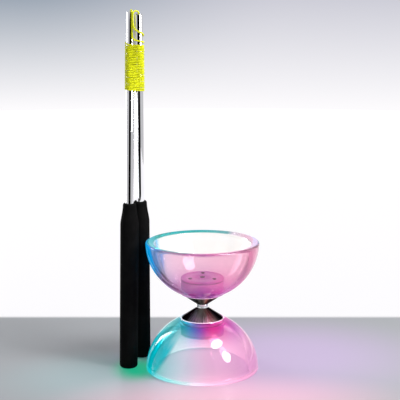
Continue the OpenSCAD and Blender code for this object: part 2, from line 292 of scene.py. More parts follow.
yarn = string_yarn()
string = braided_cord("string", string_path, string_d, string_sides, 0.07, 0.0036)
string.data.materials.append(yarn)
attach(string, "handsticks")
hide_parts("string_winding", "front_string_lead", "back_string_lead")
for stick in ("front", "back"):
    low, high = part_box(f"{stick}_string_knot")
    knot = braided_cord(f"{stick}_tip_knot", knot_path((low + high) / 2, 0.00045),
                        string_d, string_sides, 0.07, 0.0036)
    knot.data.materials.append(yarn)
    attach(knot, "handsticks")
    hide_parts(f"{stick}_string_knot")


# ---------------------------------------------------------------- cups
# Two alike cups of clear cast plastic, thick at the lip and polished inside and out. A bead runs round the seat of
# each cone. The colour that the lights behind the hub give the plastic is painted into it, as colour and glow.
rim_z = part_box("upper_cup")[1].z
cup_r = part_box("upper_cup")[1].x
lip_w, lip_round, lip_inner_round, lip_drop = 0.0089, 0.002, 0.0025, 0.001
cup_inner_h, cup_floor_z, cup_bore_r = 0.053, 0.0195, 0.0031
hub_r, seat_r, bead_h = 0.022, 0.0209, 0.001
hub_z = rim_z - math.sqrt(cup_r ** 2 - hub_r ** 2)
painted_light_steps = {
    # where across the cup, from left to right, each colour of the painted light stands
    "upper_wall": [(0.0, (0.02, 0.22, 0.62)), (0.12, (0.54, 0.36, 0.64)), (0.26, (0.76, 0.36, 0.58)),
                   (0.60, (0.74, 0.28, 0.48)), (1.0, (0.66, 0.17, 0.33))],
    "upper_hub": [(0.18, (0.03, 0.06, 0.42)), (0.30, (0.46, 0.03, 0.24)), (0.50, (0.10, 0.02, 0.26)),
                  (0.62, (0.34, 0.02, 0.28)), (0.82, (0.66, 0.10, 0.38))],
    "lower_wall": [(0.0, (0.0, 0.34, 0.42)), (0.10, (0.40, 0.72, 0.74)), (0.24, (0.66, 0.92, 0.90)),
                   (0.40, (0.88, 0.80, 0.87)), (0.55, (0.98, 0.58, 0.72)), (0.78, (0.84, 0.46, 0.63)),
                   (1.0, (0.52, 0.22, 0.40))],
    "lower_hub": [(0.16, (0.0, 0.30, 0.22)), (0.35, (0.0, 0.34, 0.44)), (0.41, (0.01, 0.12, 0.50)),
                  (0.49, (0.22, 0.02, 0.34)), (0.60, (0.72, 0.004, 0.15)), (0.78, (0.30, 0.03, 0.36))],
}
glow_share = {
    # how strongly the plastic glows with the painted light's colour, at the hub and at the rim
    "upper": (0.32, 0.05),
    "lower": (0.34, 0.29),
}
edge_glow = {
    # the painted light along the left edge of each cup: where it starts at the rim, how much wider it grows towards
    # the hub, its colour by transmitted light and its painted glow
    "upper": (-0.93, 3.5, (0.0, 0.12, 0.42), (0.0, 0.22, 0.42)),
    "lower": (-0.91, 11.2, (0.0, 0.26, 0.34), (0.0, 0.22, 0.24)),
}


def lathe_arc(centre_r, centre_z, radius, start, stop, steps=8):
    """Points of an arc in a lathe outline, angles in degrees from the horizontal."""
    angles = [math.radians(start + (stop - start) * i / steps) for i in range(steps + 1)]
    return [(centre_r + radius * math.cos(a), centre_z + radius * math.sin(a)) for a in angles]


def turned(name, outline, steps=144, smooth=40):
    """A lathe-turned piece: its outline, as radius and height, is drawn and spun round the axle."""
    start_r, start_z = outline[0]
    bpy.ops.mesh.primitive_plane_add(size=0.001, location=(start_r, 0, start_z))
    piece = bpy.context.object
    piece.name = piece.data.name = name
    bpy.ops.object.mode_set(mode="EDIT")
    bpy.ops.mesh.merge(type="CENTER")
    for (r, z), (next_r, next_z) in zip(outline, outline[1:]):
        bpy.ops.mesh.extrude_vertices_move(
            TRANSFORM_OT_translate={"value": (next_r - r, 0, next_z - z)})
    bpy.ops.mesh.select_all(action="SELECT")
    bpy.ops.mesh.spin(steps=steps, angle=2 * math.pi, center=(0, 0, 0), axis=(0, 0, 1))
    bpy.ops.mesh.select_all(action="SELECT")
    bpy.ops.mesh.remove_doubles(threshold=2e-6)
    bpy.ops.mesh.normals_make_consistent(inside=False)
    bpy.ops.object.mode_set(mode="OBJECT")
    bpy.ops.object.transform_apply(location=True, rotation=False, scale=False)
    bpy.ops.object.shade_smooth_by_angle(angle=math.radians(smooth))
    bpy.ops.object.select_all(action="DESELECT")
    return piece


def mirrored(piece, name):
    """The same piece for the other end of the spool, turned over through the waist."""
    twin = piece.copy()
    twin.data = piece.data.copy()
    twin.name = twin.data.name = name
    bpy.context.scene.collection.objects.link(twin)
    twin.data.transform(Matrix.Scale(-1, 4, (0, 0, 1)))
    twin.data.flip_normals()
    return twin


def settle(piece, material, body, slot, *stands_for):
    """Gives a finished piece its material and its body, and hides the nodes it stands for. The slot argument is not
    used.
    """
    piece.data.materials.clear()
    piece.data.materials.append(material)
    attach(piece, body)
    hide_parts(*stands_for)


def ramp_node(tree, factor, steps, interpolation="B_SPLINE"):
    """A colour ramp fed by a factor, with its colours at the given places."""
    node = add_node(tree, "ShaderNodeValToRGB", links={"Fac": factor})
    elements = node.color_ramp.elements
    node.color_ramp.interpolation = interpolation
    while len(elements) < len(steps):
        elements.new(0.5)
    for element, (place, colour) in zip(elements, steps):
        element.position = place
        element.color = (*colour, 1)
    return node.outputs["Color"]


def math_node(tree, operation, first, second=0.0, clamp=False):
    """One arithmetic step; each side is a number or a socket."""
    node = tree.nodes.new("ShaderNodeMath")
    node.operation, node.use_clamp = operation, clamp
    for key, value in enumerate((first, second)):
        if isinstance(value, bpy.types.NodeSocket):
            tree.links.new(value, node.inputs[key])
        else:
            node.inputs[key].default_value = value
    return node.outputs[0]


def span(tree, value, low, high):
    """0 below low, 1 above high and smooth between."""
    node = add_node(tree, "ShaderNodeMapRange", {"From Min": low, "From Max": high},
                    {"Value": value}, interpolation_type="SMOOTHSTEP")
    return node.outputs["Result"]


def mix_colours(tree, factor, first, second, blend="MIX"):
    """Two colours mixed by a factor; each is a socket or a colour."""
    node = tree.nodes.new("ShaderNodeMix")
    node.data_type, node.blend_type = "RGBA", blend
    for key, value in ((0, factor), (6, first), (7, second)):
        if isinstance(value, bpy.types.NodeSocket):
            tree.links.new(value, node.inputs[key])
        elif key:
            node.inputs[key].default_value = (*value, 1)
        else:
            node.inputs[key].default_value = value
    return node.outputs[2]


def fine_scratch_group():
    """Hairline scratches and faint smears that polished faces pick up: a roughness mask and a height."""
    group = bpy.data.node_groups.new("fine_scratches", "ShaderNodeTree")
    group.interface.new_socket("Vector", in_out="INPUT", socket_type="NodeSocketVector")
    scale = group.interface.new_socket("Scale", in_out="INPUT", socket_type="NodeSocketFloat")
    scale.default_value = 1.0
    group.interface.new_socket("Mask", in_out="OUTPUT", socket_type="NodeSocketFloat")
    group.interface.new_socket("Height", in_out="OUTPUT", socket_type="NodeSocketFloat")
    entry, out = group.nodes.new("NodeGroupInput"), group.nodes.new("NodeGroupOutput")
    scaled = add_node(group, "ShaderNodeVectorMath", links={0: entry.outputs["Vector"],
                                                           "Scale": entry.outputs["Scale"]},
                      operation="SCALE")
    smear = add_node(group, "ShaderNodeTexNoise", {"Scale": 45.0, "Detail": 4.0},
                     {"Vector": scaled.outputs[0]})
    lines = None
    for turn in (0.4, 1.9, 2.8):
        drawn = add_node(group, "ShaderNodeMapping",
                         {"Rotation": (turn, turn * 0.7, turn * 1.3), "Scale": (9, 900, 250)},
                         {"Vector": scaled.outputs[0]})
        hair = add_node(group, "ShaderNodeTexNoise", {"Scale": 1.0, "Detail": 1.0},
                        {"Vector": drawn.outputs["Vector"]})
        line = span(group, hair.outputs["Fac"], 0.66, 0.74)
        lines = line if lines is None else math_node(group, "MAXIMUM", lines, line)
    mask = math_node(group, "ADD", math_node(group, "MULTIPLY", smear.outputs["Fac"], 0.6),
                     math_node(group, "MULTIPLY", lines, 0.4), clamp=True)
    group.links.new(mask, out.inputs["Mask"])
    group.links.new(math_node(group, "SUBTRACT", 1.0, lines), out.inputs["Height"])
    return group


fine_scratches = fine_scratch_group()


def scratched(tree, shader, scale, low, high, bump=0.15, vector=None):
    """Feeds a shader's roughness, between low and high, and its bump from the scratches."""
    if vector is None:
        vector = add_node(tree, "ShaderNodeTexCoord").outputs["Object"]
    wear = add_node(tree, "ShaderNodeGroup", {"Scale": scale}, {"Vector": vector},
                    node_tree=fine_scratches)
    worn = add_node(tree, "ShaderNodeMapRange", {"To Min": low, "To Max": high},
                    {"Value": wear.outputs["Mask"]})
    tree.links.new(worn.outputs["Result"], shader.inputs["Roughness"])
    dent = add_node(tree, "ShaderNodeBump", {"Strength": bump, "Distance": 0.00002},
                    {"Height": wear.outputs["Height"]})
    tree.links.new(dent.outputs["Normal"], shader.inputs["Normal"])
    return wear


def cup_plastic(end, side):
    """Clear plastic with the lights' colour painted across it and towards the hub, and painted cream by the light
    where it faces inwards.
    """
    material, tree, shader = new_material(
        f"cup_plastic_{end}", Transmission_Weight=0.95, IOR=1.49, Coat_Weight=0.05, Coat_Roughness=0.02,
        Emission_Strength=1.0)
    place = add_node(tree, "ShaderNodeTexCoord").outputs["Object"]
    axes = add_node(tree, "ShaderNodeSeparateXYZ", links={"Vector": place})
    x, y, z = (axes.outputs[k] for k in "XYZ")
    across = math_node(tree, "ADD", math_node(tree, "MULTIPLY", x, 0.5 / cup_r), 0.5)
    height = math_node(tree, "MULTIPLY", z, side)
    to_rim = span(tree, height, hub_z + 0.001, hub_z + 0.024)
    wall = ramp_node(tree, across, painted_light_steps[f"{end}_wall"])
    if end == "upper":
        # The far half is lit less, so the mouth looks cream.
        wall = mix_colours(tree, span(tree, y, -0.012, 0.02), wall, (0.99, 0.95, 0.90))
    outer = mix_colours(tree, to_rim, ramp_node(tree, across, painted_light_steps[f"{end}_hub"]), wall)
    start, widening, edge_tint, edge_light = edge_glow[end]
    from_rim = math_node(tree, "SUBTRACT", rim_z, height)
    inward = math_node(tree, "SUBTRACT", math_node(tree, "MULTIPLY", x, 1 / cup_r),
                       math_node(tree, "MULTIPLY", from_rim, widening))
    edge = math_node(tree, "MULTIPLY", span(tree, inward, start + 0.07, start - 0.01), to_rim)
    outer = mix_colours(tree, edge, outer, edge_tint)
    centred = add_node(tree, "ShaderNodeVectorMath", {1: (0, 0, side * rim_z)}, {0: place},
                       operation="DISTANCE")
    outside = span(tree, centred.outputs["Value"], cup_r - 0.0022, cup_r - 0.0012)
    # Painted light: the inner face is washed out to cream, pale cyan on the left.
    inside_painted_light = mix_colours(tree, span(tree, across, 0.0, 0.25), (0.85, 0.97, 0.96), (0.98, 0.96, 0.94))
    body = mix_colours(tree, outside, inside_painted_light, outer)
    # The lip's flat ring and its rounds glow green-blue behind and left, pink to the right.
    lip = math_node(tree, "MULTIPLY", span(tree, height, rim_z - 0.0022, rim_z - 0.0012),
                    math_node(tree, "SUBTRACT", 1.0, outside))
    slant = math_node(tree, "SUBTRACT", math_node(tree, "MULTIPLY", y, 0.45), x)
    lit = ramp_node(tree, span(tree, slant, -0.045, 0.035),
                    [(0.0, (0.92, 0.50, 0.70)), (0.3, (0.74, 0.60, 0.72)), (0.5, (0.04, 0.30, 0.30)),
                     (1.0, (0.0, 0.33, 0.30))], "EASE")
    colour = mix_colours(tree, lip, body, lit)
    # The bead round the cone's seat gets a painted highlight: a thin white line in colour and glow.
    from_axle = add_node(tree, "ShaderNodeVectorMath", {1: (1, 1, 0)}, {0: place}, operation="MULTIPLY")
    reach = add_node(tree, "ShaderNodeVectorMath", links={0: from_axle.outputs[0]}, operation="LENGTH")
    bead_highlight = math_node(tree, "MULTIPLY", span(tree, height, hub_z + 0.0004, hub_z - 0.0001),
                     span(tree, reach.outputs["Value"], hub_r + 0.0006, hub_r - 0.0001))
    colour = mix_colours(tree, bead_highlight, colour, (0.98, 0.90, 0.95))
    tree.links.new(colour, shader.inputs["Base Color"])
    glow = mix_colours(tree, 0.05, (0, 0, 0), colour)
    at_hub, at_rim = glow_share[end]
    share = math_node(tree, "ADD", math_node(tree, "MULTIPLY", to_rim, at_rim - at_hub), at_hub)
    shine = mix_colours(tree, share, (0, 0, 0), outer)
    glow = mix_colours(tree, outside, glow, shine)
    glow = mix_colours(tree, math_node(tree, "MULTIPLY", lip, 0.42), glow, lit)
    glow = mix_colours(tree, math_node(tree, "MULTIPLY", edge, outside), glow, edge_light)
    glow = mix_colours(tree, bead_highlight, glow, (0.50, 0.38, 0.44))
    tree.links.new(glow, shader.inputs["Emission Color"])
    scratched(tree, shader, 1.0, 0.015, 0.06, bump=0.06)
    return material


hub_start = math.degrees(math.asin((hub_r + 0.0012) / cup_r))
lip_stop = math.degrees(math.acos(lip_round / cup_r))
inner_top = math.degrees(math.asin((lip_drop + lip_inner_round) / cup_inner_h))
inner_low = math.degrees(math.asin((rim_z - cup_floor_z) / cup_inner_h))
cup_inner_r = cup_r - lip_w
cup_outline = [(cup_bore_r, hub_z), (seat_r + 0.0002, hub_z), (seat_r + 0.0003, hub_z - bead_h + 0.0003)]
cup_outline += lathe_arc(seat_r + 0.0008, hub_z - bead_h + 0.0005, 0.0005, 200, 330)
cup_outline += lathe_arc(0, rim_z, cup_r, hub_start - 90, lip_stop - 90, 40)
cup_outline += lathe_arc(cup_r - lip_round, rim_z - lip_round, lip_round, 10, 90)
cup_outline += [(cup_r - lip_w + 0.0045, rim_z)]
cup_outline += lathe_arc(cup_inner_r + lip_inner_round, rim_z - lip_drop - lip_inner_round,
                         lip_inner_round, 80, 175)
for i in range(41):
    angle = math.radians(inner_top + (inner_low - inner_top) * i / 40)
    cup_outline.append((cup_inner_r * math.cos(angle), rim_z - cup_inner_h * math.sin(angle)))
cup_outline += [(cup_bore_r, cup_floor_z), (cup_bore_r, hub_z)]
upper_cup = turned("cup_upper", cup_outline, 192)
lower_cup = mirrored(upper_cup, "cup_lower")
for cup, side, end in ((upper_cup, 1, "upper"), (lower_cup, -1, "lower")):
    settle(cup, cup_plastic(end, side), "spool", "clear_cup", f"{end}_cup")


# ---------------------------------------------------------------- cones
# A turned cone of dark nickelled metal seats on each hub. The finishing tool left fine streaks that
# run from the nose to the wide edge, where a narrow land meets the cup's bead.
nose_r, nose_z, pocket_r, pocket_z = 0.0066, 0.0023, 0.0059, 0.005


def radial_streak_group():
    """Streaks that fan out from the axle, as fine light and dark lines and a height."""
    group = bpy.data.node_groups.new("radial_streaks", "ShaderNodeTree")
    group.interface.new_socket("Vector", in_out="INPUT", socket_type="NodeSocketVector")
    count = group.interface.new_socket("Count", in_out="INPUT", socket_type="NodeSocketFloat")
    count.default_value = 40.0
    group.interface.new_socket("Streak", in_out="OUTPUT", socket_type="NodeSocketFloat")
    entry, out = group.nodes.new("NodeGroupInput"), group.nodes.new("NodeGroupOutput")
    axes = add_node(group, "ShaderNodeSeparateXYZ", links={"Vector": entry.outputs["Vector"]})
    flat = add_node(group, "ShaderNodeCombineXYZ", links={"X": axes.outputs["X"],
                                                          "Y": axes.outputs["Y"]})
    ray = add_node(group, "ShaderNodeVectorMath", links={0: flat.outputs[0]}, operation="NORMALIZE")
    spread = add_node(group, "ShaderNodeVectorMath",
                      links={0: ray.outputs[0], "Scale": entry.outputs["Count"]}, operation="SCALE")
    drawn = add_node(group, "ShaderNodeCombineXYZ",
                     links={"Z": math_node(group, "MULTIPLY", axes.outputs["Z"], 60.0)})
    place = add_node(group, "ShaderNodeVectorMath", links={0: spread.outputs[0], 1: drawn.outputs[0]},
                     operation="ADD")
    noise = add_node(group, "ShaderNodeTexNoise", {"Scale": 1.0, "Detail": 5.0, "Roughness": 0.65},
                     {"Vector": place.outputs[0]})
    group.links.new(span(group, noise.outputs["Fac"], 0.3, 0.7), out.inputs["Streak"])
    return group


radial_streaks = radial_streak_group()


def cone_nickel():
    material, tree, shader = new_material("cone_nickel", Metallic=1.0,
                                          Specular_Tint=(0.35, 0.33, 0.33, 1))
    place = add_node(tree, "ShaderNodeTexCoord").outputs["Object"]
    fine = add_node(tree, "ShaderNodeGroup", {"Count": 26.0}, {"Vector": place},
                    node_tree=radial_streaks).outputs["Streak"]
    broad = add_node(tree, "ShaderNodeGroup", {"Count": 3.2}, {"Vector": place},
                     node_tree=radial_streaks).outputs["Streak"]
    metal = mix_colours(tree, fine, (0.14, 0.135, 0.125), (0.60, 0.58, 0.54))
    # Painted reflection: two bright fans before and behind the axle, and the sides painted near black, as the turned
    # grain would gather the light.
    flat = add_node(tree, "ShaderNodeVectorMath", {1: (1, 1, 0)}, {0: place}, operation="MULTIPLY")
    ray = add_node(tree, "ShaderNodeVectorMath", links={0: flat.outputs[0]}, operation="NORMALIZE")
    ray_axes = add_node(tree, "ShaderNodeSeparateXYZ", links={0: ray.outputs[0]}).outputs
    toward = math_node(tree, "ABSOLUTE", ray_axes["Y"])
    # Painted light: broad reddish streaks on the right side, towards the pink half of the spool.
    painted_red_share = math_node(tree, "MULTIPLY", broad, span(tree, ray_axes["X"], -0.10, 0.55))
    red_lit_side = mix_colours(tree, painted_red_share, metal, (0.34, 0.09, 0.08))
    painted_fans = mix_colours(tree, span(tree, toward, 0.55, 0.97), (0.012, 0.010, 0.012), red_lit_side)
    tree.links.new(painted_fans, shader.inputs["Base Color"])
    rough = add_node(tree, "ShaderNodeMapRange", {"To Min": 0.22, "To Max": 0.42}, {"Value": fine})
    tree.links.new(rough.outputs["Result"], shader.inputs["Roughness"])
    bump = add_node(tree, "ShaderNodeBump", {"Strength": 0.25, "Distance": 0.00003}, {"Height": fine})
    tree.links.new(bump.outputs["Normal"], shader.inputs["Normal"])
    return material


nickel = cone_nickel()
cone_outline = [(cup_bore_r, pocket_z), (pocket_r, pocket_z), (pocket_r, nose_z + 0.0002),
                (pocket_r + 0.0002, nose_z), (nose_r - 0.00025, nose_z), (nose_r, nose_z + 0.00025)]
cone_outline += [(seat_r - 0.0002, hub_z - 0.0011), (seat_r, hub_z - 0.0009), (seat_r, hub_z),
                 (0.018, hub_z), (0.0175, hub_z - 0.0004), (0.0092, 0.0082), (0.009, hub_z),
                 (cup_bore_r, hub_z), (cup_bore_r, pocket_z)]
upper_cone = turned("cone_upper", cone_outline, 160, 30)
for cone, end in ((upper_cone, "upper"), (mirrored(upper_cone, "cone_lower"), "lower")):
    settle(cone, nickel, "spool", "cone_metal", f"{end}_cone")


# ---------------------------------------------------------------- collar
# The bright collar that the string runs on: a steel sleeve pressed over three small bearings, with a
# polished band between the cones. The band's edges are rounded so that they don't cut the string.
sleeve_high, sleeve_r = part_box("axle_sleeve")[1].z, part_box("axle_sleeve")[1].x
sleeve_bore_r, sleeve_end_r, band_half = 0.005, 0.0056, 0.002


def polished_metal(name, colour, low, high, scratch_scale=3.0, tint=None):
    """A plated or ground metal with hairline scratches and a faint change of tint."""
    material, tree, shader = new_material(name, Metallic=1.0)
    place = add_node(tree, "ShaderNodeTexCoord").outputs["Object"]
    cloud = add_node(tree, "ShaderNodeTexNoise", {"Scale": 90.0, "Detail": 2.0}, {"Vector": place})
    shade = mix_colours(tree, cloud.outputs["Fac"], colour, tint or [0.93 * c for c in colour])
    tree.links.new(shade, shader.inputs["Base Color"])
    scratched(tree, shader, scratch_scale, low, high, vector=place)
    return material


collar_chrome = polished_metal("collar_chrome", (0.90, 0.90, 0.92), 0.03, 0.12, 4.0)
collar_outline = [(sleeve_bore_r, -sleeve_high), (sleeve_end_r - 0.0002, -sleeve_high),
                  (sleeve_end_r, -sleeve_high + 0.0002), (sleeve_end_r, -band_half)]
collar_outline += lathe_arc(sleeve_r - 0.0003, -band_half + 0.0003, 0.0003, -90, 0, 5)
collar_outline += [(sleeve_r - 0.00012, -0.0012), (sleeve_r - 0.00022, 0), (sleeve_r - 0.00012, 0.0012)]
collar_outline += lathe_arc(sleeve_r - 0.0003, band_half - 0.0003, 0.0003, 0, 90, 5)
collar_outline += [(sleeve_end_r, band_half), (sleeve_end_r, sleeve_high - 0.0002),
                   (sleeve_end_r - 0.0002, sleeve_high), (sleeve_bore_r, sleeve_high),
                   (sleeve_bore_r, -sleeve_high)]
settle(turned("collar", collar_outline, 96, 35), collar_chrome, "collar", "collar_metal", "axle_sleeve")


# ---------------------------------------------------------------- bearings
# Three miniature ball bearings side by side inside the collar: ground steel rings with a ball groove,
# and eight balls each.
bearing_steel = polished_metal("bearing_steel", (0.82, 0.82, 0.84), 0.06, 0.2, 6.0)
for ring in ("outer_ring", "inner_ring", "balls"):
    for i in (1, 2, 3):
        nodes[f"bearing_{ring}_{i}"].data.materials.clear()
        nodes[f"bearing_{ring}_{i}"].data.materials.append(bearing_steel)


# ---------------------------------------------------------------- axle
# A zinc plated steel rod clamps the whole spool: spacers and cones on the outside of the bearings,
# then a washer and a hexagon nut in each cup. The rod's ends are threaded.
rod_low, rod_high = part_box("axle_rod")
rod_r, thread_pitch, thread_depth = rod_high.x, 0.001, 0.0003
zinc_steel = polished_metal("zinc_steel", (0.66, 0.67, 0.70), 0.22, 0.42, 2.0, (0.60, 0.62, 0.70))
thread_low = rod_high.z - 0.007
rod_outline = [(0, 0), (rod_r, 0), (rod_r, thread_low)]
for i in range(6):
    z = thread_low + 0.0003 + i * thread_pitch
    rod_outline += [(rod_r, z), (rod_r - thread_depth, z + thread_pitch / 2)]
rod_outline += [(rod_r, thread_low + 0.0063), (rod_r - 0.0004, rod_high.z), (0, rod_high.z)]
upper_rod = turned("axle_rod_upper_half", rod_outline[1:], 64, 25)
lower_rod = mirrored(upper_rod, "axle_rod_lower_half")
upper_rod.select_set(True)
lower_rod.select_set(True)
bpy.context.view_layer.objects.active = upper_rod
bpy.ops.object.join()
bpy.ops.object.mode_set(mode="EDIT")
bpy.ops.mesh.select_all(action="SELECT")
bpy.ops.mesh.remove_doubles(threshold=2e-6)
bpy.ops.object.mode_set(mode="OBJECT")
bpy.ops.object.select_all(action="DESELECT")
upper_rod.name = upper_rod.data.name = "threaded_axle"
settle(upper_rod, zinc_steel, "spool", "axle_steel", "axle_rod")


# ---------------------------------------------------------------- spacers, washers and nuts
# Plain turned spacers keep the cones off the bearings' outer rings. In each cup a washer and a
# chamfered hexagon nut pull the stack together. All are zinc plated steel.
washer_high, nut_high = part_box("upper_hub_washer")[1].z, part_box("upper_axle_nut")[1].z
washer_r, spacer_r, nut_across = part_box("upper_hub_washer")[1].x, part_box("upper_spacer")[1].x, 0.010
edge = 0.00015
spacer_outline = [(rod_r, 0.0045), (spacer_r - edge, 0.0045), (spacer_r, 0.0045 + edge),
                  (spacer_r, pocket_z - edge), (spacer_r - edge, pocket_z), (rod_r, pocket_z),
                  (rod_r, 0.0045)]
washer_outline = [(cup_bore_r, cup_floor_z), (washer_r - edge, cup_floor_z), (washer_r, cup_floor_z + edge),
                  (washer_r, washer_high - edge), (washer_r - edge, washer_high),
                  (cup_bore_r, washer_high), (cup_bore_r, cup_floor_z)]


def hexagon_nut(name, low, high, across, bore):
    """A hexagon nut with its corners turned off at both faces and a countersunk bore."""
    corner = across / 2 / math.cos(math.radians(30))
    bpy.ops.mesh.primitive_cylinder_add(vertices=6, radius=corner, depth=high - low,
                                        location=(0, 0, (low + high) / 2))
    body = bpy.context.object
    body.name = body.data.name = name
    bpy.ops.object.transform_apply(location=True, rotation=False, scale=False)
    chamfer = turned(f"{name}_chamfer", [(0, low), (across / 2 + 0.0001, low), (corner + 0.0002, low + 0.0006),
                                         (corner + 0.0002, high - 0.0006), (across / 2 + 0.0001, high),
                                         (0, high)], 96)
    hole = turned(f"{name}_hole", [(0, low - 0.001), (bore + 0.0016, low - 0.001), (bore, low + 0.0003),
                                   (bore, high - 0.0003), (bore + 0.0016, high + 0.001),
                                   (0, high + 0.001)], 96)
    for tool, action in ((chamfer, "INTERSECT"), (hole, "DIFFERENCE")):
        cut = body.modifiers.new(action, "BOOLEAN")
        cut.operation, cut.object, cut.solver = action, tool, "EXACT"
        bpy.context.view_layer.objects.active = body
        bpy.ops.object.modifier_apply(modifier=cut.name)
        bpy.data.objects.remove(tool)
    body.select_set(True)
    bpy.ops.object.shade_smooth_by_angle(angle=math.radians(25))
    bpy.ops.object.select_all(action="DESELECT")
    return body


upper_spacer = turned("spacer_upper", spacer_outline, 64, 30)
upper_washer = turned("washer_upper", washer_outline, 96, 30)
upper_nut = hexagon_nut("nut_upper", washer_high, nut_high, nut_across, rod_r)
for piece, node in ((upper_spacer, "spacer"), (upper_washer, "hub_washer"), (upper_nut, "axle_nut")):
    twin = mirrored(piece, piece.name.replace("upper", "lower"))
    settle(piece, zinc_steel, "spool", "axle_steel", f"upper_{node}")
    settle(twin, zinc_steel, "spool", "axle_steel", f"lower_{node}")


# ---------------------------------------------------------------- light housings
# A round moulded case of milky plastic sits in each cup, over the nut. It glows with the colours of
# the chips it holds: three screw posts, a well for the nut and a stepped rim for the seal.
housing_low, housing_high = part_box("upper_light_housing")[0].z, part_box("upper_light_housing")[1].z
light_r, case_wall, well_r, well_wall, well_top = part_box("upper_light_housing")[1].x, 0.0015, 0.007, 0.0012, 0.0256
post_r, post_high, screw_ring = 0.0022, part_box("upper_circuit_board")[0].z, 0.014
screw_turns = [208, 328, 88]
housing_glow = {
    "upper": [(0.05, (0.45, 0.10, 0.42)), (0.3, (0.62, 0.12, 0.42)), (0.55, (0.30, 0.10, 0.42)),
              (0.8, (0.66, 0.20, 0.50))],
    "lower": [(0.05, (0.0, 0.45, 0.36)), (0.3, (0.0, 0.38, 0.55)), (0.48, (0.16, 0.10, 0.50)),
              (0.62, (0.75, 0.05, 0.30)), (0.9, (0.45, 0.10, 0.50))],
}


# the colour that each unit's light paints on its alike milky case
case_painted_light = {"upper": (0.50, 0.24, 0.44), "lower": (0.22, 0.22, 0.40)}


def post(name, radius, low, high, turn, away, hole_r):
    """A moulded screw post, standing at an angle round the axle."""
    piece = turned(name, [(0, low), (radius, low), (radius - 0.0001, high - edge), (radius - 0.00025, high),
                          (hole_r, high), (hole_r, 0.024), (0, 0.024)], 32, 30)
    angle = math.radians(turn)
    piece.data.transform(Matrix.Translation((away * math.cos(angle), away * math.sin(angle), 0)))
    return piece


def joined(pieces, name):
    """Several pieces of one moulding joined as one mesh."""
    for piece in pieces:
        piece.select_set(True)
    bpy.context.view_layer.objects.active = pieces[0]
    bpy.ops.object.join()
    bpy.ops.object.select_all(action="DESELECT")
    pieces[0].name = pieces[0].data.name = name
    return pieces[0]


def glowing_plastic(name, tint, glow, strength, roughness):
    """Milky plastic lit from behind: a colour painted with the unit's light, with a glow that changes across it."""
    material, tree, shader = new_material(name, Roughness=roughness, Emission_Strength=strength,
                                          Subsurface_Weight=0.3, Subsurface_Scale=0.002)
    place = add_node(tree, "ShaderNodeTexCoord").outputs["Object"]
    axes = add_node(tree, "ShaderNodeSeparateXYZ", links={"Vector": place})
    across = math_node(tree, "ADD",
                       math_node(tree, "MULTIPLY", axes.outputs["X"], 0.5 / light_r), 0.5)
    colours = ramp_node(tree, across, glow)
    flow = add_node(tree, "ShaderNodeTexNoise", {"Scale": 160.0, "Detail": 2.0}, {"Vector": place})
    base = mix_colours(tree, 0.6, tint, colours)
    shaded = mix_colours(tree, math_node(tree, "MULTIPLY", flow.outputs["Fac"], 0.12), base,
                         (0.80, 0.76, 0.84))
    tree.links.new(shaded, shader.inputs["Base Color"])
    tree.links.new(colours, shader.inputs["Emission Color"])
    grain = add_node(tree, "ShaderNodeTexNoise", {"Scale": 2400.0}, {"Vector": place})
    bump = add_node(tree, "ShaderNodeBump", {"Strength": 0.12, "Distance": 0.00003},
                    {"Height": grain.outputs["Fac"]})
    tree.links.new(bump.outputs["Normal"], shader.inputs["Normal"])
    return material


floor_top = housing_low + case_wall
shell_outline = [(well_r, housing_low), (light_r - 0.0004, housing_low), (light_r, housing_low + 0.0004),
                 (light_r, housing_high - 0.0012), (light_r - 0.0002, housing_high - 0.001),
                 (light_r - 0.0002, housing_high), (light_r - case_wall, housing_high),
                 (light_r - case_wall, floor_top + 0.0004), (light_r - case_wall - 0.0004, floor_top),
                 (well_r + well_wall + 0.0003, floor_top), (well_r + well_wall, floor_top + 0.0003),
                 (well_r + well_wall, well_top - 0.0003), (well_r + well_wall - 0.0003, well_top),
                 (0, well_top), (0, well_top - 0.0008), (well_r, well_top - 0.0008), (well_r, housing_low)]
case_parts = [turned("housing_upper", shell_outline, 128, 30)]
case_parts += [post(f"post_{i}", post_r, floor_top, post_high, turn, screw_ring, 0.0009)
               for i, turn in enumerate(screw_turns)]
upper_case = joined(case_parts, "light_housing_upper")
for case, end in ((upper_case, "upper"), (mirrored(upper_case, "light_housing_lower"), "lower")):
    milky = glowing_plastic(f"milky_case_{end}", case_painted_light[end], housing_glow[end], 0.28, 0.4)
    settle(case, milky, "spool", "light_case", f"{end}_light_housing")


# ---------------------------------------------------------------- contacts, cells and switch
# A stamped brass clip joins three button cells under the board, and a snap dome on the board is the
# switch. The cells are nickel plated cans with a crimped edge.
def worn_colour(name, colour, dark, metallic, low, high, scale):
    """A plain finish with cloudy tarnish or dust in a second shade, and hairline scratches."""
    material, tree, shader = new_material(name, Metallic=metallic)
    place = add_node(tree, "ShaderNodeTexCoord").outputs["Object"]
    cloud = add_node(tree, "ShaderNodeTexNoise", {"Scale": scale, "Detail": 5.0}, {"Vector": place})
    shade = mix_colours(tree, span(tree, cloud.outputs["Fac"], 0.35, 0.7), colour, dark)
    tree.links.new(shade, shader.inputs["Base Color"])
    scratched(tree, shader, 2.5, low, high, vector=place)
    return material


brass = worn_colour("contact_brass", (0.62, 0.42, 0.14), (0.45, 0.27, 0.09), 1.0, 0.2, 0.4, 260.0)
can_nickel = worn_colour("cell_nickel", (0.70, 0.69, 0.66), (0.58, 0.57, 0.55), 1.0, 0.12, 0.3, 300.0)
for end in ("upper", "lower"):
    for node, finish in (("battery_clip", brass), ("button_cells", can_nickel), ("dome_switch", can_nickel)):
        nodes[f"{end}_{node}"].data.materials.clear()
        nodes[f"{end}_{node}"].data.materials.append(finish)


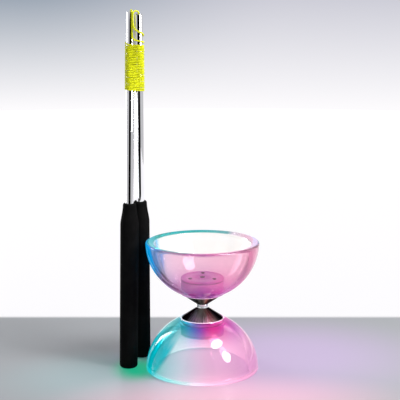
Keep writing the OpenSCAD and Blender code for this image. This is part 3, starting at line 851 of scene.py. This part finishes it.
# ---------------------------------------------------------------- circuit boards and light chips
# A round green board with copper tracks under its varnish carries six light-emitting chips in a ring.
# Each chip is a white moulded block with a yellowish lit window.
board_low, board_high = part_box("upper_circuit_board")[0].z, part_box("upper_circuit_board")[1].z
chip_ring, chip_w, chip_h, window_r = 0.0132, 0.005, 0.0016, 0.0019
chip_turns = [screw_turns[0] + 30 + 60 * i for i in range(6)]


def board_varnish():
    material, tree, shader = new_material("board_varnish", Roughness=0.3, Coat_Weight=0.6,
                                          Coat_Roughness=0.1)
    place = add_node(tree, "ShaderNodeTexCoord").outputs["Object"]
    flat = add_node(tree, "ShaderNodeMapping", {"Scale": (1, 1, 0)}, {"Vector": place})
    rings = add_node(tree, "ShaderNodeTexWave", {"Scale": 95.0, "Distortion": 1.5, "Detail": 0.0},
                     {"Vector": flat.outputs["Vector"]}, wave_type="RINGS", rings_direction="SPHERICAL")
    cells = add_node(tree, "ShaderNodeTexVoronoi", {"Scale": 160.0}, {"Vector": flat.outputs["Vector"]},
                     distance="CHEBYCHEV")
    track = math_node(tree, "MAXIMUM", span(tree, rings.outputs["Fac"], 0.62, 0.7),
                      span(tree, cells.outputs["Distance"], 0.42, 0.4))
    shade = mix_colours(tree, track, (0.008, 0.10, 0.045), (0.03, 0.24, 0.11))
    tree.links.new(shade, shader.inputs["Base Color"])
    bump = add_node(tree, "ShaderNodeBump", {"Strength": 0.3, "Distance": 0.00004}, {"Height": track})
    tree.links.new(bump.outputs["Normal"], shader.inputs["Normal"])
    return material


def chip_window():
    material, tree, shader = new_material("chip_window", Roughness=0.35, Emission_Strength=1.2)
    place = add_node(tree, "ShaderNodeTexCoord").outputs["Object"]
    axes = add_node(tree, "ShaderNodeSeparateXYZ", links={"Vector": place})
    across = math_node(tree, "ADD", math_node(tree, "MULTIPLY", axes.outputs["X"], 0.5 / light_r), 0.5)
    colours = ramp_node(tree, across, [(0.1, (0.05, 0.9, 0.5)), (0.35, (0.1, 0.4, 1.0)),
                                       (0.6, (1.0, 0.1, 0.5)), (0.9, (1.0, 0.3, 0.8))])
    tree.links.new(colours, shader.inputs["Base Color"])
    tree.links.new(colours, shader.inputs["Emission Color"])
    return material


def chip(name):
    """One light chip: a bevelled block with a dished window in its top."""
    bpy.ops.mesh.primitive_cube_add(size=1, location=(0, 0, board_high + chip_h / 2),
                                    scale=(chip_w, chip_w, chip_h))
    body = bpy.context.object
    body.name = body.data.name = name
    bpy.ops.object.transform_apply(location=True, rotation=False, scale=True)
    bpy.ops.object.mode_set(mode="EDIT")
    bpy.ops.mesh.select_all(action="SELECT")
    bpy.ops.mesh.bevel(offset=0.00025, segments=2)
    bpy.ops.object.mode_set(mode="OBJECT")
    top = board_high + chip_h
    dish = turned(f"{name}_dish", [(0, top - 0.0005), (window_r - 0.0003, top - 0.0005),
                                   (window_r + 0.0002, top + 0.0003), (0, top + 0.0003)], 40)
    cut = body.modifiers.new("window", "BOOLEAN")
    cut.operation, cut.object, cut.solver = "DIFFERENCE", dish, "EXACT"
    bpy.context.view_layer.objects.active = body
    bpy.ops.object.modifier_apply(modifier=cut.name)
    bpy.data.objects.remove(dish)
    return body


def placed_copies(piece, name, turns, away):
    """Copies of a piece at angles round the axle, joined, and the first piece removed."""
    copies = []
    for turn in turns:
        copy = piece.copy()
        copy.data = piece.data.copy()
        bpy.context.scene.collection.objects.link(copy)
        copy.data.transform(Matrix.Rotation(math.radians(turn), 4, "Z") @ Matrix.Translation((away, 0, 0)))
        copies.append(copy)
    bpy.data.objects.remove(piece)
    return joined(copies, name)


varnish, lit_window = board_varnish(), chip_window()
chip_white = worn_colour("chip_white", (0.86, 0.85, 0.80), (0.74, 0.72, 0.64), 0.0, 0.3, 0.5, 400.0)
upper_chips = placed_copies(chip("chip"), "light_chips_upper", chip_turns, chip_ring)
for chips, end in ((upper_chips, "upper"), (mirrored(upper_chips, "light_chips_lower"), "lower")):
    settle(chips, chip_white, "spool", "led_chip", f"{end}_leds")
    chips.data.materials.append(lit_window)
    for face in chips.data.polygons:
        near = min((face.center.xy - Vector((chip_ring * math.cos(math.radians(t)),
                                             chip_ring * math.sin(math.radians(t))))).length
                   for t in chip_turns)
        face.material_index = int(near < window_r and abs(face.center.z) > board_high + chip_h - 0.0006
                                  and abs(face.center.z) < board_high + chip_h - 0.0001)
    nodes[f"{end}_circuit_board"].data.materials.clear()
    nodes[f"{end}_circuit_board"].data.materials.append(varnish)


# ---------------------------------------------------------------- seals
# A moulded rubber ring lies between each housing and its lens and keeps sweat and dust out.
seal_low, seal_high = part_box("upper_seal_ring")[0].z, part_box("upper_seal_ring")[1].z
seal_out, seal_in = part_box("upper_seal_ring")[1].x, light_r - case_wall + 0.0001


def moulded_rubber(name, colour, dust):
    material, tree, shader = new_material(name, Roughness=0.6, Sheen_Weight=0.15, Sheen_Roughness=0.5)
    place = add_node(tree, "ShaderNodeTexCoord").outputs["Object"]
    grain = add_node(tree, "ShaderNodeTexNoise", {"Scale": 900.0, "Detail": 3.0}, {"Vector": place})
    shade = mix_colours(tree, span(tree, grain.outputs["Fac"], 0.4, 0.75), colour, dust)
    tree.links.new(shade, shader.inputs["Base Color"])
    bump = add_node(tree, "ShaderNodeBump", {"Strength": 0.2, "Distance": 0.00004},
                    {"Height": grain.outputs["Fac"]})
    tree.links.new(bump.outputs["Normal"], shader.inputs["Normal"])
    return material


seal_rubber = moulded_rubber("seal_rubber", (0.02, 0.02, 0.022), (0.045, 0.044, 0.044))
seal_round = (seal_out - seal_in) / 4
seal_outline = [(seal_in, seal_low), (seal_out - edge, seal_low), (seal_out, seal_low + edge),
                (seal_out, seal_high - edge), (seal_out - edge, seal_high),
                (seal_in + 3 * seal_round, seal_high), (seal_in + 2 * seal_round, seal_high - edge),
                (seal_in + seal_round, seal_high), (seal_in, seal_high), (seal_in, seal_low)]
upper_seal = turned("seal_upper", seal_outline, 128, 40)
for seal, end in ((upper_seal, "upper"), (mirrored(upper_seal, "seal_lower"), "lower")):
    settle(seal, seal_rubber, "spool", "seal_rubber", f"{end}_seal_ring")


# ---------------------------------------------------------------- lenses, screws and buttons
# A frosted disc closes each light unit. Three small black cross-head screws hold it, and a push button
# in its middle works the switch. The button's top is dished for a fingertip.
lens_low, lens_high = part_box("upper_light_lens")[0].z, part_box("upper_light_lens")[1].z
button_low, button_top, flange_r, button_r = (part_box("upper_push_button")[0].z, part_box("upper_push_button")[1].z,
                                              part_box("upper_push_button")[1].x, 0.0025)
head_r, head_high, shank_r, shank_low = 0.0018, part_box("upper_cover_screws")[1].z, 0.0009, 0.024
lens_outline = [(button_r + 0.0001, lens_low), (light_r - 0.0002, lens_low), (light_r, lens_low + 0.0002),
                (light_r, lens_high - 0.0006)]
lens_outline += lathe_arc(light_r - 0.0006, lens_high - 0.0006, 0.0006, 15, 90, 5)
lens_outline += [(light_r - 0.0016, lens_high), (light_r - 0.0018, lens_high - 0.0002),
                 (light_r - 0.0022, lens_high - 0.0002), (light_r - 0.0024, lens_high),
                 (0.0062, lens_high), (0.006, lens_high - 0.0002), (0.0056, lens_high - 0.0002),
                 (0.0054, lens_high), (button_r + 0.0003, lens_high),
                 (button_r + 0.0001, lens_high - 0.0002), (button_r + 0.0001, lens_low)]
upper_lens = turned("lens_upper", lens_outline, 144, 30)
drills = [turned(f"drill_{i}", [(0, lens_low - 0.001), (shank_r + 0.0002, lens_low - 0.001),
                                (shank_r + 0.0002, lens_high + 0.001), (0, lens_high + 0.001)], 32)
          for i in range(3)]
for drill, turn in zip(drills, screw_turns):
    angle = math.radians(turn)
    drill.data.transform(Matrix.Translation((screw_ring * math.cos(angle), screw_ring * math.sin(angle), 0)))
    hole = upper_lens.modifiers.new("screw hole", "BOOLEAN")
    hole.operation, hole.object, hole.solver = "DIFFERENCE", drill, "EXACT"
    bpy.context.view_layer.objects.active = upper_lens
    bpy.ops.object.modifier_apply(modifier=hole.name)
    bpy.data.objects.remove(drill)


def frosted_lens(name, glow, strength):
    """Frosted plastic over the chips, a little brighter in a ring above them."""
    material, tree, shader = new_material(name, Transmission_Weight=0.55, IOR=1.49, Roughness=0.35,
                                          Emission_Strength=strength)
    place = add_node(tree, "ShaderNodeTexCoord").outputs["Object"]
    axes = add_node(tree, "ShaderNodeSeparateXYZ", links={"Vector": place})
    across = math_node(tree, "ADD", math_node(tree, "MULTIPLY", axes.outputs["X"], 0.5 / light_r), 0.5)
    colours = ramp_node(tree, across, glow)
    flat = add_node(tree, "ShaderNodeMapping", {"Scale": (1, 1, 0)}, {"Vector": place})
    reach = add_node(tree, "ShaderNodeVectorMath", links={0: flat.outputs["Vector"]}, operation="LENGTH")
    off_ring = math_node(tree, "ABSOLUTE", math_node(tree, "SUBTRACT", reach.outputs["Value"], chip_ring))
    halo = span(tree, off_ring, 0.0065, 0.001)
    pale = mix_colours(tree, 0.3, colours, (0.66, 0.58, 0.74))
    lit = mix_colours(tree, halo, colours, pale)
    tree.links.new(lit, shader.inputs["Base Color"])
    tree.links.new(lit, shader.inputs["Emission Color"])
    frost = add_node(tree, "ShaderNodeTexNoise", {"Scale": 3200.0, "Detail": 2.0}, {"Vector": place})
    bump = add_node(tree, "ShaderNodeBump", {"Strength": 0.2, "Distance": 0.00002},
                    {"Height": frost.outputs["Fac"]})
    tree.links.new(bump.outputs["Normal"], shader.inputs["Normal"])
    return material


for lens, end in ((upper_lens, "upper"), (mirrored(upper_lens, "lens_lower"), "lower")):
    frosted = frosted_lens(f"frosted_lens_{end}", housing_glow[end], 0.22)
    settle(lens, frosted, "spool", "light_lens", f"{end}_light_lens")

screw_outline = [(0, shank_low), (shank_r - 0.0003, shank_low), (shank_r, shank_low + 0.0004)]
for i in range(9):
    z = shank_low + 0.0006 + 0.0006 * i
    screw_outline += [(shank_r, z), (shank_r - 0.00015, z + 0.0003)]
screw_outline += [(shank_r, lens_high), (head_r - 0.0001, lens_high), (head_r, lens_high + 0.0001)]
screw_outline += lathe_arc(head_r - 0.0004, head_high - 0.0004, 0.0004, 10, 90, 5) + [(0, head_high)]


def cross_head_screw(name):
    """A small pan-head screw. Two crossed box slots are cut from its head, but the boxes are scaled twice and come
    out microscopic.
    """
    body = turned(name, screw_outline, 48, 35)
    for turn in (0, 90):
        bpy.ops.mesh.primitive_cube_add(size=1, location=(0, 0, head_high), scale=(0.002, 0.0004, 0.0010))
        slot = bpy.context.object
        slot.data.transform(Matrix.Diagonal((0.002, 0.0004, 0.0010, 1)))
        slot.data.transform(Matrix.Translation((0, 0, head_high)))
        slot.location, slot.scale = (0, 0, 0), (1, 1, 1)
        slot.data.transform(Matrix.Rotation(math.radians(turn), 4, "Z"))
        cut = body.modifiers.new("slot", "BOOLEAN")
        cut.operation, cut.object, cut.solver = "DIFFERENCE", slot, "EXACT"
        bpy.context.view_layer.objects.active = body
        bpy.ops.object.modifier_apply(modifier=cut.name)
        bpy.data.objects.remove(slot)
        bpy.ops.object.select_all(action="DESELECT")
    return body


screw_black = worn_colour("screw_black", (0.03, 0.03, 0.035), (0.09, 0.09, 0.10), 0.8, 0.25, 0.45, 700.0)
upper_screws = placed_copies(cross_head_screw("screw"), "lens_screws_upper", screw_turns, screw_ring)
for screws, end in ((upper_screws, "upper"), (mirrored(upper_screws, "lens_screws_lower"), "lower")):
    settle(screws, screw_black, "spool", "screw_black", f"{end}_cover_screws")

button_foot = button_low + 0.00005
button_outline = [(0, button_foot), (flange_r - edge, button_foot), (flange_r, button_foot + edge),
                  (flange_r, button_low + 0.0005), (button_r, button_low + 0.0005)]
button_outline += lathe_arc(button_r - 0.0004, button_top - 0.0005, 0.0004, 0, 90, 6)
button_outline += [(0.0016, button_top - 0.0001), (0.0013, button_top - 0.00022), (0.0007, button_top - 0.0003),
                   (0, button_top - 0.00032)]
button_plastic = worn_colour("button_plastic", (0.03, 0.03, 0.05), (0.06, 0.055, 0.075), 0.0, 0.3, 0.5, 500.0)
upper_button = turned("button_upper", button_outline, 72, 35)
for button, end in ((upper_button, "upper"), (mirrored(upper_button, "button_lower"), "lower")):
    settle(button, button_plastic, f"{end}_button", "button_plastic", f"{end}_push_button")


# ---------------------------------------------------------------- handstick tubes
# Thin seamless tube, polished and chrome plated, with its edges broken at both ends.
def stick_place(line):
    """Turns a piece made upright from the foot of a stick to the stick's own lean and place."""
    low, high = line
    along = (high - low).normalized()
    lean = Vector((0, 0, 1)).rotation_difference(along).to_matrix().to_4x4()
    return Matrix.Translation(low - along * grip_floor) @ lean


grip_floor, tube_bore_r = 0.003, 0.0032
stick_len = (front_line[1] - front_line[0]).length + grip_floor
stick_lines = {"front": front_line, "back": back_line}
tube_chrome = polished_metal("tube_chrome", (0.93, 0.93, 0.95), 0.015, 0.06, 1.5)
tube_outline = [(tube_bore_r, grip_floor), (tube_r - edge, grip_floor), (tube_r, grip_floor + edge),
                (tube_r, stick_len - 0.0003)]
tube_outline += [(tube_r - 0.0001, stick_len - 0.0001), (tube_r - 0.0003, stick_len),
                 (tube_bore_r + 0.0001, stick_len), (tube_bore_r, stick_len - 0.0001),
                 (tube_bore_r, grip_floor)]
for stick, line in stick_lines.items():
    tube = turned(f"tube_{stick}", tube_outline, 96, 30)
    tube.data.transform(stick_place(line))
    settle(tube, tube_chrome, "handsticks", "tube_chrome", f"{stick}_stick_tube")


# ---------------------------------------------------------------- grips
# A closed-cell foam sleeve pushed over each tube. It is round at the foot, straight along the hand and
# tapers to the tube, with a skin of fine pores.
grip_r, grip_round, grip_top_r, grip_len, grip_taper = 0.00925, 0.003, 0.00675, 0.172, 0.022


def foam_skin():
    material, tree, shader = new_material("foam_skin", Roughness=0.85, Specular_IOR_Level=0.04)
    place = add_node(tree, "ShaderNodeTexCoord").outputs["Object"]
    pores = add_node(tree, "ShaderNodeTexVoronoi", {"Scale": 1500.0, "Randomness": 1.0}, {"Vector": place})
    cloud = add_node(tree, "ShaderNodeTexNoise", {"Scale": 120.0, "Detail": 6.0}, {"Vector": place})
    pit = span(tree, pores.outputs["Distance"], 0.15, 0.5)
    shade = mix_colours(tree, span(tree, cloud.outputs["Fac"], 0.35, 0.7), (0.0016, 0.0015, 0.0017),
                        (0.0042, 0.0040, 0.0042))
    tree.links.new(mix_colours(tree, math_node(tree, "MULTIPLY", pit, 0.4), shade, (0.007, 0.007, 0.007)),
                   shader.inputs["Base Color"])
    both = math_node(tree, "ADD", pit, math_node(tree, "MULTIPLY", cloud.outputs["Fac"], 1.5))
    bump = add_node(tree, "ShaderNodeBump", {"Strength": 0.35, "Distance": 0.00012}, {"Height": both})
    tree.links.new(bump.outputs["Normal"], shader.inputs["Normal"])
    return material


foam = foam_skin()
shoulder = grip_len - grip_taper
grip_outline = [(0, 0), (grip_r - grip_round - 0.0005, 0)]
grip_outline += lathe_arc(grip_r - grip_round, grip_round, grip_round, -90, 0, 10)
grip_outline += [(grip_r, shoulder * i / 24) for i in range(1, 25)]
for i in range(1, 15):
    share = i / 14
    r = grip_r + (grip_top_r - grip_r) * (share * share * (3 - 2 * share)) ** 0.85
    grip_outline.append((r, shoulder + (grip_taper - 0.002) * share))
grip_outline += lathe_arc(grip_top_r - 0.002, grip_len - 0.002, 0.002, 10, 90, 6)
grip_outline += [(tube_r, grip_len), (tube_r, grip_floor), (0, grip_floor)]
for stick, line in stick_lines.items():
    grip = turned(f"grip_{stick}", grip_outline, 96, 40)
    grip.data.transform(stick_place(line))
    settle(grip, foam, "handsticks", "grip_foam", f"{stick}_stick_grip")


# ---------------------------------------------------------------- tube plugs
# Moulded plugs close both ends of each tube. The upper one has a hole that the string passes through,
# and its knot is drawn up against the plug from below.
plug_h, tip_plug_low, string_hole_r = 0.007, stick_len - 0.011, 0.001
plug_black = worn_colour("plug_black", (0.012, 0.012, 0.013), (0.03, 0.03, 0.03), 0.0, 0.35, 0.55, 500.0)
foot_outline = [(0, grip_floor), (tube_bore_r - edge, grip_floor), (tube_bore_r, grip_floor + edge),
                (tube_bore_r, grip_floor + plug_h - 0.0006), (tube_bore_r - 0.0006, grip_floor + plug_h),
                (0, grip_floor + plug_h)]
tip_high = tip_plug_low + plug_h
tip_outline = [(string_hole_r + 0.0004, tip_plug_low), (tube_bore_r - edge, tip_plug_low),
               (tube_bore_r, tip_plug_low + edge), (tube_bore_r, tip_high - edge),
               (tube_bore_r - edge, tip_high), (string_hole_r + 0.0004, tip_high),
               (string_hole_r, tip_high - 0.0004), (string_hole_r, tip_plug_low + 0.0004),
               (string_hole_r + 0.0004, tip_plug_low)]
for stick, line in stick_lines.items():
    for end, outline in (("foot", foot_outline), ("tip", tip_outline)):
        plug = turned(f"{end}_plug_{stick}", outline, 64, 30)
        plug.data.transform(stick_place(line))
        settle(plug, plug_black, "handsticks", "plug_black", f"{stick}_{end}_plug")


# ---------------------------------------------------------------- studio
# A pale satin table in front of a white sweep and a pale sky that turns bluish above. Round soft boxes
# light it from the right, the front and behind. Only reflections see the dark flag in front.
table_edge = 0.177


def aimed(name, data, place, target):
    """A light or other object turned to face a point."""
    item = bpy.data.objects.new(name, data)
    item.location = place
    item.rotation_euler = (Vector(target) - Vector(place)).to_track_quat("-Z", "Y").to_euler()
    bpy.context.scene.collection.objects.link(item)
    return item


def table_top():
    """Pale lacquer with soft pools of coloured light round the spool, and the white sweep beyond."""
    material, tree, shader = new_material("table_top", Roughness=0.34, Specular_IOR_Level=0.25,
                                          Emission_Strength=1.0)
    place = add_node(tree, "ShaderNodeTexCoord").outputs["Object"]
    axes = add_node(tree, "ShaderNodeSeparateXYZ", links={"Vector": place})
    x, y = axes.outputs["X"], axes.outputs["Y"]
    behind = span(tree, y, table_edge - 0.002, table_edge + 0.010)
    reach = add_node(tree, "ShaderNodeVectorMath", links={0: place}, operation="LENGTH")
    beyond = math_node(tree, "MAXIMUM", behind, span(tree, reach.outputs["Value"], 0.42, 0.9))

    def pool(centre, reach_x, reach_y):
        """A soft pool of light round a point: 1 at its centre, 0 at its reach."""
        dx = math_node(tree, "DIVIDE", math_node(tree, "SUBTRACT", x, centre[0]), reach_x)
        dy = math_node(tree, "DIVIDE", math_node(tree, "SUBTRACT", y, centre[1]), reach_y)
        square = math_node(tree, "ADD", math_node(tree, "MULTIPLY", dx, dx),
                           math_node(tree, "MULTIPLY", dy, dy))
        return span(tree, math_node(tree, "SQRT", square), 1.0, 0.15)

    # Painted shadow and light: in the green pool the table is painted dark as well as lit green.
    green_light_and_shadow = pool((-0.066, -0.004), 0.034, 0.050)
    base = mix_colours(tree, green_light_and_shadow, (0.30, 0.31, 0.325), (0.005, 0.04, 0.03))
    glow = mix_colours(tree, green_light_and_shadow, (0, 0, 0), (0.0, 0.34, 0.13))
    for tint, centre, reach_x, reach_y in (((0.0, 0.08, 0.08), (-0.10, -0.03), 0.14, 0.10),
                                           ((0.44, 0.12, 0.20), (0.03, -0.10), 0.20, 0.10),
                                           ((0.17, 0.05, 0.24), (0.09, 0.04), 0.20, 0.17)):
        part = mix_colours(tree, pool(centre, reach_x, reach_y), (0, 0, 0), tint)
        glow = mix_colours(tree, 1.0, glow, part, "ADD")
    tree.links.new(mix_colours(tree, beyond, base, (0.02, 0.02, 0.02)), shader.inputs["Base Color"])
    tree.links.new(mix_colours(tree, beyond, glow, (0.88, 0.87, 0.89)), shader.inputs["Emission Color"])
    return material


bpy.ops.mesh.primitive_circle_add(vertices=128, radius=2.6, fill_type="NGON", location=(0, 0, floor_z))
table = bpy.context.object
table.name = table.data.name = "studio_table"
bpy.ops.object.transform_apply(location=True, rotation=False, scale=False)
table.data.materials.append(table_top())
bpy.ops.mesh.primitive_plane_add(size=1)
flag = bpy.context.object
flag.name = flag.data.name = "studio_flag"
flag.data.transform(Matrix.Translation((-0.07, -0.60, floor_z + 0.34)) @ Matrix.Rotation(math.pi / 2, 4, "X")
                    @ Matrix.Diagonal((0.72, 0.60, 1, 1)))
black, _, _ = new_material("studio_flag", Base_Color=(0, 0, 0, 1), Roughness=1.0, Specular_IOR_Level=0.0)
flag.data.materials.append(black)
flag.visible_camera = flag.visible_diffuse = flag.visible_transmission = flag.visible_shadow = False
bpy.ops.object.select_all(action="DESELECT")

for name, place, size, power in (
        ("right_low_soft_box", (0.84, -0.50, 0.50), (0.32, 0.42), 7.5),
        ("right_high_soft_box", (0.50, -0.34, 0.92), (0.54, 0.32), 8.0),
        ("back_left_soft_box", (-0.84, 0.70, 0.30), (0.52, 0.70), 6.5),
        ("back_right_soft_box", (0.66, 0.68, 0.74), (0.30, 0.30), 0.4),
        ("front_small_soft_box", (0.43, -0.92, 0.64), (0.05, 0.16), 0.7)):
    data = bpy.data.lights.new(name, "AREA")
    data.shape, data.size, data.size_y, data.energy = "ELLIPSE", *size, power
    box = aimed(name, data, place, (0, 0, 0.03))
    box.visible_camera = False

world = bpy.data.worlds.new("studio_sky")
world.use_nodes = True
sky = world.node_tree
direction = add_node(sky, "ShaderNodeTexCoord").outputs["Generated"]
ways = add_node(sky, "ShaderNodeSeparateXYZ", links={"Vector": direction})
rise = add_node(sky, "ShaderNodeMapRange", {"From Min": -0.101, "From Max": -0.007},
                {"Value": ways.outputs["Z"]}).outputs["Result"]
overhead = mix_colours(sky, span(sky, ways.outputs["X"], 0.08, -0.16), (0.62, 0.62, 0.69), (0.35, 0.40, 0.47))
fade = mix_colours(sky, rise, (0.985, 0.97, 0.99), overhead)
seen = add_node(sky, "ShaderNodeBackground", {"Strength": 1.0}, {"Color": fade})
soft = add_node(sky, "ShaderNodeBackground", {"Color": (0.95, 0.96, 1.0, 1), "Strength": 0.5})
bright = add_node(sky, "ShaderNodeBackground", {"Color": (0.98, 0.98, 1.0, 1), "Strength": 0.6})
path = add_node(sky, "ShaderNodeLightPath")
around = add_node(sky, "ShaderNodeMixShader", links={0: path.outputs["Is Glossy Ray"],
                                                     1: soft.outputs[0], 2: bright.outputs[0]})
both = add_node(sky, "ShaderNodeMixShader", links={0: path.outputs["Is Camera Ray"],
                                                   1: around.outputs[0], 2: seen.outputs[0]})
sky.links.new(both.outputs[0], sky.nodes["World Output"].inputs["Surface"])
bpy.context.scene.world = world
bpy.context.scene.view_settings.view_transform = "Standard"
